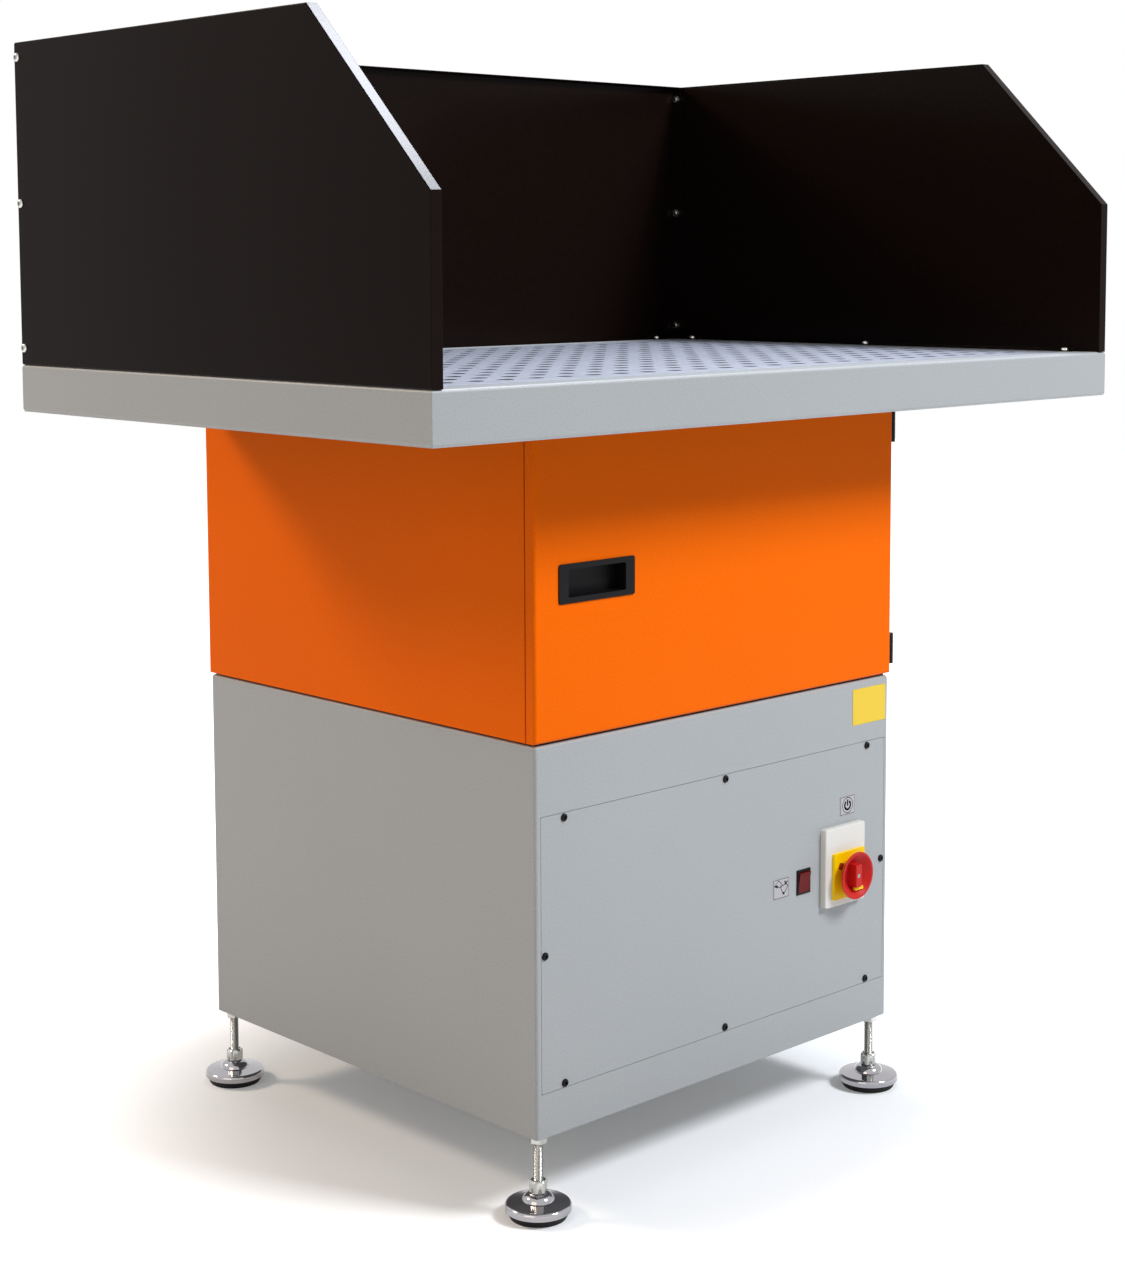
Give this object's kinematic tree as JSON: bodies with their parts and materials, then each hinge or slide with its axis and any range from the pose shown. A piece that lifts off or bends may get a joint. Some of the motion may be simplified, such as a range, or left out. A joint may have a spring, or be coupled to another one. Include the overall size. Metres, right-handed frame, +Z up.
{
  "type": "downdraft extraction table",
  "caption": "Standing work table with a perforated top, splash panels on three sides, a filter housing with a hinged door and a fan cabinet on levelling feet.",
  "frame": {"origin": "centre of the whole footprint, rear foot pads included, on the floor", "axes": "+X to the right along the front edge, +Y to the back, away from the door and the switch, +Z up"},
  "size_m": [1.2066, 0.824, 1.4],
  "materials": {
    "grey_powder_coat": "light grey fine-textured powder coat",
    "orange_powder_coat": "orange fine-textured powder coat",
    "black_powder_coat": "brown-black semi-gloss powder coat",
    "black_metal": "black painted metal",
    "galvanised_sheet": "galvanised sheet",
    "zinc_steel": "zinc-plated steel",
    "chrome": "polished chrome plate",
    "cast_aluminium": "cast aluminium",
    "filter_frame_metal": "extruded aluminium",
    "filter_medium": "pleated filter medium",
    "filter_mat": "coarse pre-filter mat",
    "black_rubber": "black rubber",
    "black_plastic": "fine-textured black plastic",
    "off_white_plastic": "off-white plastic",
    "yellow_plastic": "yellow plastic",
    "red_plastic": "red plastic",
    "dark_red_plastic": "dark red translucent plastic, modelled opaque",
    "sign_plate": "light grey sign plate"
  },
  "bodies": {
    "table": {"top_frame": "grey_powder_coat", "plate_support_bars": "galvanised_sheet", "collecting_pan": "galvanised_sheet", "spark_baffle": "galvanised_sheet", "side_panel_skins": "black_powder_coat", "side_panel_liners": "black_powder_coat", "back_panel": "black_powder_coat", "corner_bolts": "zinc_steel", "corner_nuts": "zinc_steel", "base_screws": "zinc_steel", "filter_housing": "orange_powder_coat", "filter_seat": "galvanised_sheet", "main_filter_frame": "filter_frame_metal", "main_filter_pleats": "filter_medium", "prefilter_frame": "filter_frame_metal", "prefilter_mesh": "filter_mat", "hinge_knuckles_housing": "black_metal", "hinge_pins": "black_metal", "catch_magnets": "black_metal", "fan_cabinet": "grey_powder_coat", "seam_gasket": "black_rubber", "service_panel": "grey_powder_coat", "panel_screws": "black_metal", "switch_housing": "off_white_plastic", "switch_plate": "yellow_plastic", "switch_body": "black_plastic", "rocker_bezel": "black_plastic", "pictogram_plates": "sign_plate", "tag_plate": "yellow_plastic", "fan_deck": "galvanised_sheet", "fan_scroll": "galvanised_sheet", "fan_motor": "cast_aluminium", "outlet_grille": "black_metal", "mains_gland": "black_plastic", "foot_lock_nuts": "zinc_steel"},
    "door": {"door_skin": "orange_powder_coat", "door_liner": "galvanised_sheet", "door_seal": "black_rubber", "handle_cup": "black_plastic", "hinge_knuckles_door": "black_metal"},
    "main_switch_knob": {"switch_knob": "red_plastic", "knob_screw": "zinc_steel", "padlock_tab": "yellow_plastic", "switch_shaft": "zinc_steel"},
    "rocker": {"rocker_button": "dark_red_plastic"},
    "fan_rotor": {"fan_impeller": "cast_aluminium", "motor_shaft": "zinc_steel"},
    "plate": {"work_plate": "galvanised_sheet"},
    "foot_front_left": {"foot_sole_front_left": "black_rubber", "foot_pad_front_left": "chrome", "foot_spindle_front_left": "zinc_steel"},
    "foot_front_right": {"foot_sole_front_right": "black_rubber", "foot_pad_front_right": "chrome", "foot_spindle_front_right": "zinc_steel"},
    "foot_rear_left": {"foot_sole_rear_left": "black_rubber", "foot_pad_rear_left": "chrome", "foot_spindle_rear_left": "zinc_steel"},
    "foot_rear_right": {"foot_sole_rear_right": "black_rubber", "foot_pad_rear_right": "chrome", "foot_spindle_rear_right": "zinc_steel"}
  },
  "joints": [
    {"name": "door_hinge", "type": "hinge", "parent": "table", "child": "door", "pos_m": [0.3317, -0.2565, 0.754], "axis": [0, 0, 1], "range_deg": [0, 110]},
    {"name": "main_switch_turn", "type": "hinge", "parent": "table", "child": "main_switch_knob", "pos_m": [0.23, -0.28, 0.316], "axis": [0, 1, 0], "range_deg": [0, 90]},
    {"name": "rocker_tilt", "type": "hinge", "parent": "table", "child": "rocker", "pos_m": [0.1505, -0.2575, 0.3185], "axis": [1, 0, 0], "range_deg": [-12, 0]},
    {"name": "fan_spin", "type": "hinge", "parent": "table", "child": "fan_rotor", "pos_m": [0, 0.063, 0.4], "axis": [0, 0, 1], "continuous": true},
    {"name": "work_plate_lift", "type": "slide", "parent": "table", "child": "plate", "axis": [0, 0, 1], "range_m": [0, 0.06]},
    {"name": "foot_level_front_left", "type": "slide", "parent": "table", "child": "foot_front_left", "axis": [0, 0, 1], "range_m": [-0.02, 0.03]},
    {"name": "foot_level_front_right", "type": "slide", "parent": "table", "child": "foot_front_right", "axis": [0, 0, 1], "range_m": [-0.02, 0.03]},
    {"name": "foot_level_rear_left", "type": "slide", "parent": "table", "child": "foot_rear_left", "axis": [0, 0, 1], "range_m": [-0.02, 0.03]},
    {"name": "foot_level_rear_right", "type": "slide", "parent": "table", "child": "foot_rear_right", "axis": [0, 0, 1], "range_m": [-0.02, 0.03]}
  ]
}
